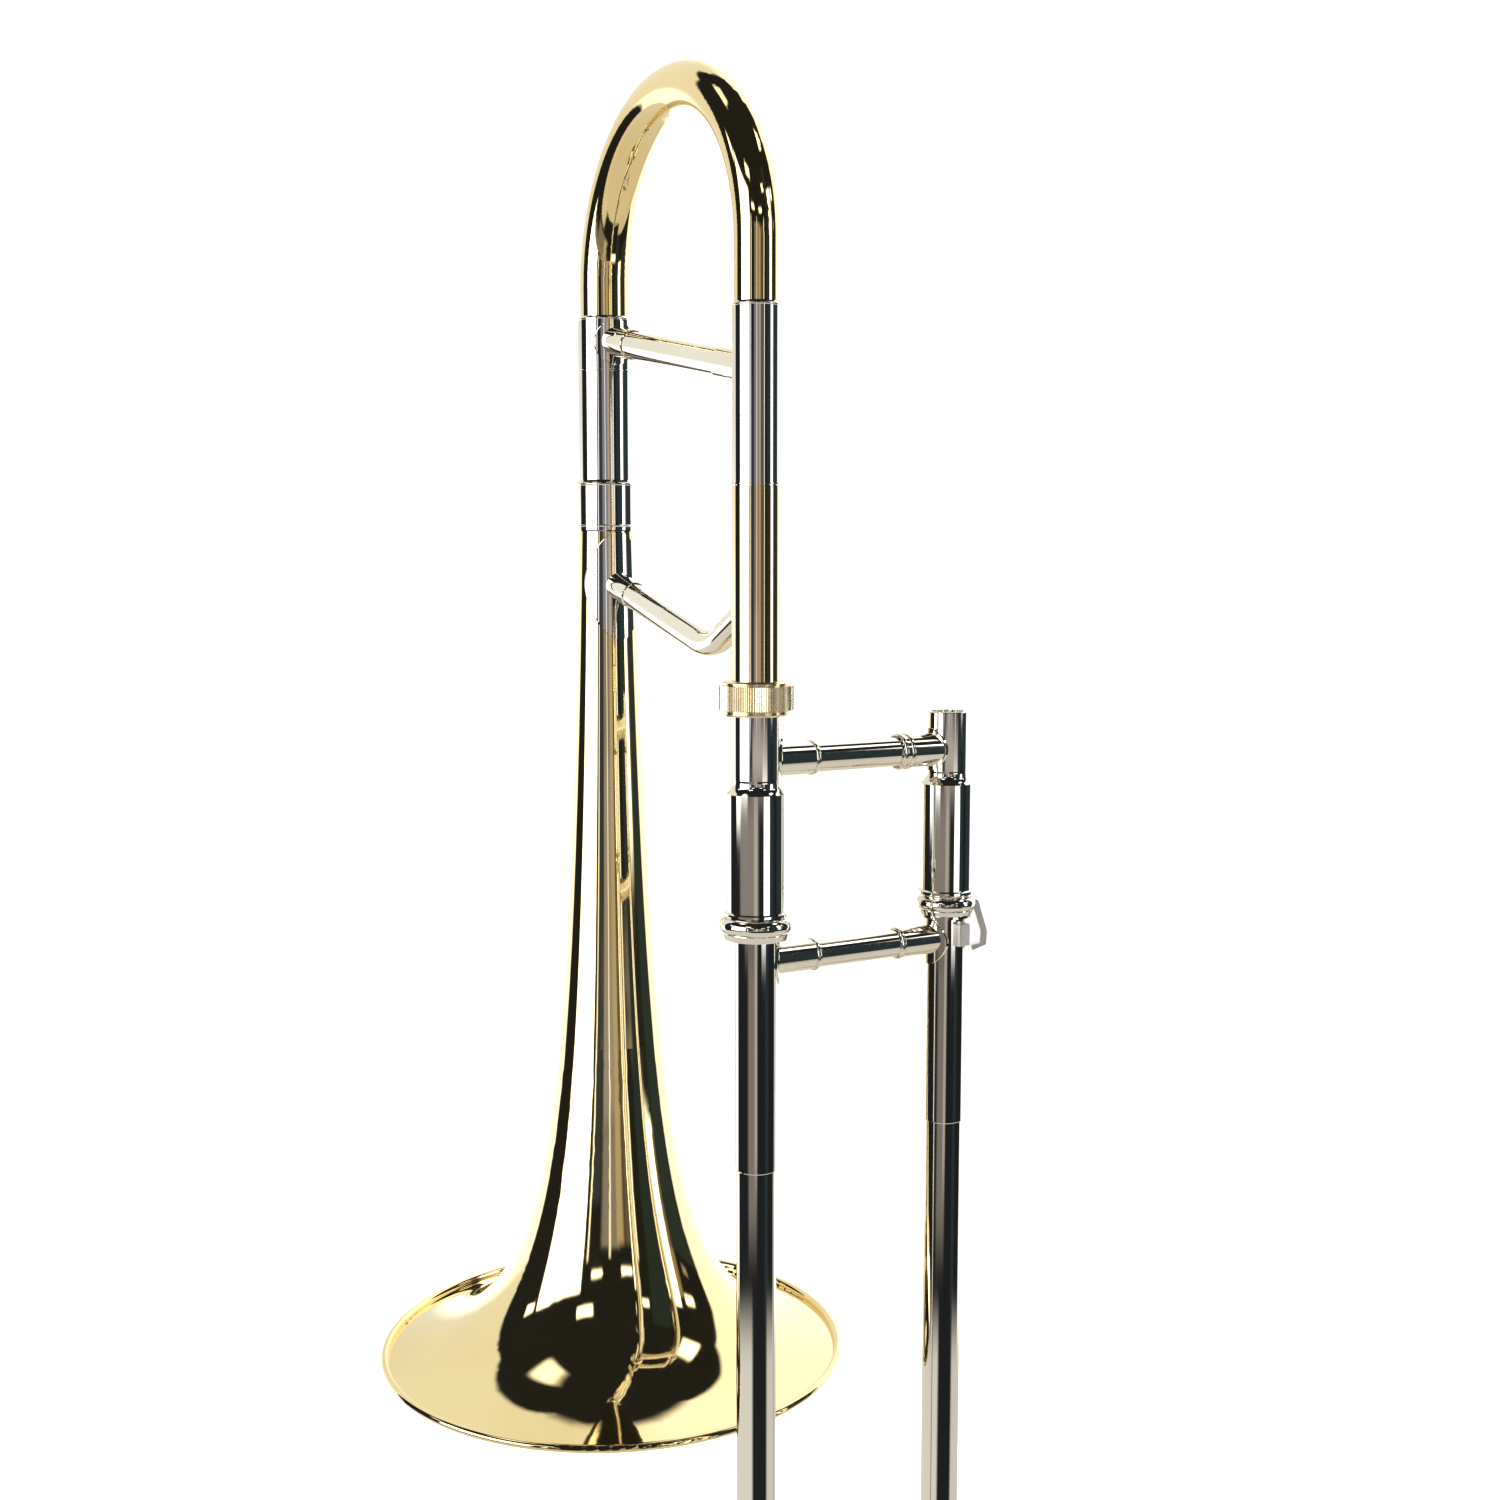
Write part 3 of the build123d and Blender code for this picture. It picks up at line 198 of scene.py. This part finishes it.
# The surroundings that the polished metal reflects. Each panel is (bearing, half width, lowest, highest,
# edge softness, colour, brightness). A bearing is in degrees to the picture's right of the camera's side,
# and lowest and highest are sines of elevation.
WHITE, CREAM = (1.0, 1.0, 0.99), (1.0, 0.95, 0.85)
ROSE, KHAKI = (1.0, 0.90, 0.82), (1.0, 0.84, 0.62)
SLATE, TEAL, LILAC = (0.62, 0.75, 1.0), (0.55, 0.85, 1.0), (0.90, 0.86, 1.0)
DARK = (0.016, 0.017, 0.019)
PANEL_EDGE = 0.02                                # softness of a panel's foot and head, in sines
PLAIN_LIGHT = 1.12                               # enough to leave the floor white too
PANELS = [
    (-58, 24, -0.14, 0.47, 1.0, WHITE, 3.4),     # large softbox on the left
    (77, 6, -0.075, 0.50, 1.0, WHITE, 3.4),      # narrower softbox on the right
    (85, 3, -0.075, 0.42, 1.5, KHAKI, 0.35),
    (60, 10, -0.40, 0.70, 2.0, TEAL, 0.045),
    (2, 13, -0.02, 0.26, 3.0, LILAC, 0.29),      # gap between dark screens in front
    (2, 13, -0.095, -0.02, 3.0, LILAC, 0.38),
    (16, 5, -0.095, 0.24, 2.0, KHAKI, 0.50),
    (27, 5, -0.095, 0.24, 4.0, KHAKI, 0.14),
    (-22, 9, -0.095, 0.10, 4.0, SLATE, 0.07),
    (-27, 1.3, -0.095, 0.30, 0.8, WHITE, 1.6),   # thin gleams between the screens
    (1.5, 1.1, -0.095, 0.30, 0.8, WHITE, 1.3),
    (37, 1.3, -0.095, 0.30, 0.8, WHITE, 1.6),
    (100, 14, -0.20, 0.15, 5.0, TEAL, 0.05),
    (17, 35, -0.125, -0.095, 4.0, ROSE, 0.60),   # pale floor in front
    (-28, 36, -0.21, -0.125, 6.0, ROSE, 0.28),
    (-20, 24, -0.36, -0.21, 8.0, ROSE, 0.24),
    (-2, 7, -0.33, -0.125, 2.0, ROSE, 0.50),
    (41, 12, -0.21, -0.125, 1.0, WHITE, 2.2),
    (-100, 78, -0.60, -0.40, 8.0, CREAM, 0.8),   # floor to both sides
    (122, 58, -0.60, -0.40, 8.0, CREAM, 0.7),
    (0, 200, -1.10, -0.58, 5.0, CREAM, 0.75),    # floor straight below
]
WALL_START, WALL_TOP, WALL_SLANT, WALL_PEAK = 115, 0.69, 0.0062, 0.90
WALL_BLUR = 1.5                                  # degrees, where the wall begins
WALL_LEFT, WALL_RIGHT, WALL_FOOT = (0.93, 0.92, 0.82), (1.5, 1.5, 1.48), (1.5, 1.5, 1.5)
WALL_FOOT_SPAN = -0.05, 0.10                     # rises between which the foot fades into the wall
WALL_SIDE_SPAN = -0.3, 0.4                       # sines of bearing between which left turns to right
GLINTS = [
    (-28, 9, 0.57, 0.65, 1.0, WHITE, 3.0),       # ceiling lights
    (-15, 6, 0.36, 0.40, 1.0, WHITE, 3.0),
    (22, 6, 0.35, 0.39, 1.0, WHITE, 3.0),
    (42, 5, 0.53, 0.58, 1.0, WHITE, 3.0),
    (-90, 4, 0.39, 0.46, 1.0, WHITE, 3.0),
    (93, 4, 0.39, 0.46, 1.0, WHITE, 3.0),
    (96, 3, 0.20, 0.25, 1.0, KHAKI, 0.4),
    (-90, 16, 0.86, 0.94, 5.0, CREAM, 2.0),
    (93, 9, 0.74, 0.85, 2.0, WHITE, 3.0),
]


def build_world():
    """Plain pale background for the camera, and the studio for everything that shines."""
    world = bpy.data.worlds.new("studio")
    world.use_nodes = True
    bpy.context.scene.world = world
    tree = world.node_tree
    tree.nodes.clear()
    place = tree.nodes.new("ShaderNodeTexCoord").outputs["Generated"]
    front, right = view_frame()

    def along(direction):
        node = tree.nodes.new("ShaderNodeVectorMath")
        node.operation = "DOT_PRODUCT"
        tree.links.new(place, node.inputs[0])
        node.inputs[1].default_value = direction
        return node.outputs["Value"]

    turn = math_node(tree, "ARCTAN2", along(right), along(front))
    bearing = math_node(tree, "MULTIPLY", turn, 180 / math.pi)
    rise = along((0, 0, 1))
    light = lit_wall(tree, bearing, rise)
    for centre, half, low, high, soft, colour, strength in PANELS + GLINTS:
        offset = math_node(tree, "SUBTRACT", bearing, centre)
        across = ramp_between(tree, wrapped(tree, offset), half - soft, half + soft, 1.0, 0.0)
        foot = ramp_between(tree, rise, low - PANEL_EDGE, low + PANEL_EDGE)
        head = ramp_between(tree, rise, high - PANEL_EDGE, high + PANEL_EDGE, 1.0, 0.0)
        mask = math_node(tree, "MULTIPLY", math_node(tree, "MULTIPLY", across, foot), head)
        bright = tuple(strength * channel for channel in colour)
        light = mix_colour(tree, mask, light, bright)

    studio = tree.nodes.new("ShaderNodeBackground")
    tree.links.new(light, studio.inputs["Color"])
    plain = tree.nodes.new("ShaderNodeBackground")
    plain.inputs["Color"].default_value = (1.0, 1.0, 1.0, 1.0)
    rays = tree.nodes.new("ShaderNodeLightPath")
    mix = tree.nodes.new("ShaderNodeMixShader")
    plain.inputs["Strength"].default_value = PLAIN_LIGHT
    tree.links.new(rays.outputs["Is Glossy Ray"], mix.inputs[0])
    tree.links.new(plain.outputs[0], mix.inputs[1])
    tree.links.new(studio.outputs[0], mix.inputs[2])
    output = tree.nodes.new("ShaderNodeOutputWorld")
    tree.links.new(mix.outputs[0], output.inputs["Surface"])


def lit_wall(tree, bearing, rise):
    """Pale wall behind the instrument, whiter on the right and at its foot, and tallest straight behind."""
    turn = math_node(tree, "ABSOLUTE", bearing)
    beyond = math_node(tree, "SUBTRACT", turn, WALL_START)
    top = math_node(tree, "ADD", math_node(tree, "MULTIPLY", beyond, WALL_SLANT), WALL_TOP)
    over = math_node(tree, "SUBTRACT", rise, math_node(tree, "MINIMUM", top, WALL_PEAK))
    behind = ramp_between(tree, beyond, -WALL_BLUR, WALL_BLUR)
    below = ramp_between(tree, over, -PANEL_EDGE, PANEL_EDGE, 1.0, 0.0)
    inside = math_node(tree, "MULTIPLY", behind, below)
    side = math_node(tree, "SINE", math_node(tree, "MULTIPLY", bearing, math.pi / 180))
    left = mix_colour(tree, ramp_between(tree, rise, *WALL_FOOT_SPAN), WALL_FOOT, WALL_LEFT)
    colour = mix_colour(tree, ramp_between(tree, side, *WALL_SIDE_SPAN), left, WALL_RIGHT)
    return mix_colour(tree, inside, DARK, colour)


def wrapped(tree, offset):
    """Size of an angle in degrees after taking out whole turns."""
    return math_node(tree, "PINGPONG", math_node(tree, "ABSOLUTE", offset), 180.0)


def add_floor():
    mesh = bpy.data.meshes.new("floor")
    corners = [(FLOOR_REACH * x, FLOOR_REACH * y, 0) for x, y in ((-1, -1), (1, -1), (1, 1), (-1, 1))]
    mesh.from_pydata(corners, [], [(0, 1, 2, 3)])
    floor = bpy.data.objects.new("floor", mesh)
    floor.location.z = FLOOR_HEIGHT
    bpy.context.scene.collection.objects.link(floor)
    material, tree, shader = blank_material("floor_paint")
    shade = noise(tree, 1.2, detail=5.0)
    tree.links.new(mix_colour(tree, shade, *FLOOR_TONES), shader.inputs["Base Color"])
    shader.inputs["Roughness"].default_value = 0.8
    mesh.materials.append(material)
    floor.visible_glossy = False


def add_light(name, bearing, distance, height, width, tall, power):
    """Soft rectangular light that faces the instrument."""
    front, right = view_frame()
    turn = math.radians(bearing)
    place = (front * math.cos(turn) + right * math.sin(turn)) * distance + Vector((0, 0, height))
    data = bpy.data.lights.new(name, "AREA")
    data.shape = "RECTANGLE"
    data.size, data.size_y = width, tall
    data.energy = power
    lamp = bpy.data.objects.new(name, data)
    lamp.location = place
    lamp.rotation_euler = (Vector((0, 0, 0)) - place).to_track_quat("-Z", "Y").to_euler()
    lamp.visible_camera = False
    lamp.visible_glossy = False
    bpy.context.scene.collection.objects.link(lamp)


def add_camera():
    data = bpy.data.cameras.new("camera")
    data.sensor_width = SENSOR
    data.lens = CAMERA_LENS
    data.clip_start = 0.01
    camera = bpy.data.objects.new("camera", data)
    camera.location = CAMERA_PLACE
    level = -view_frame()[0] * math.cos(CAMERA_PITCH)
    look = Vector((level.x, level.y, -math.sin(CAMERA_PITCH)))
    camera.rotation_euler = look.to_track_quat("-Z", "Y").to_euler()
    bpy.context.scene.collection.objects.link(camera)
    bpy.context.scene.camera = camera


build_world()
add_floor()
add_light("left_softbox", -88, 2.4, 0.9, 2.0, 2.4, 90.0)
add_light("right_softbox", 74, 2.4, 0.9, 1.4, 2.4, 70.0)
add_light("overhead", 180, 1.5, 3.2, 3.0, 3.0, 260.0)
add_camera()
bpy.context.scene.view_settings.view_transform = "Standard"
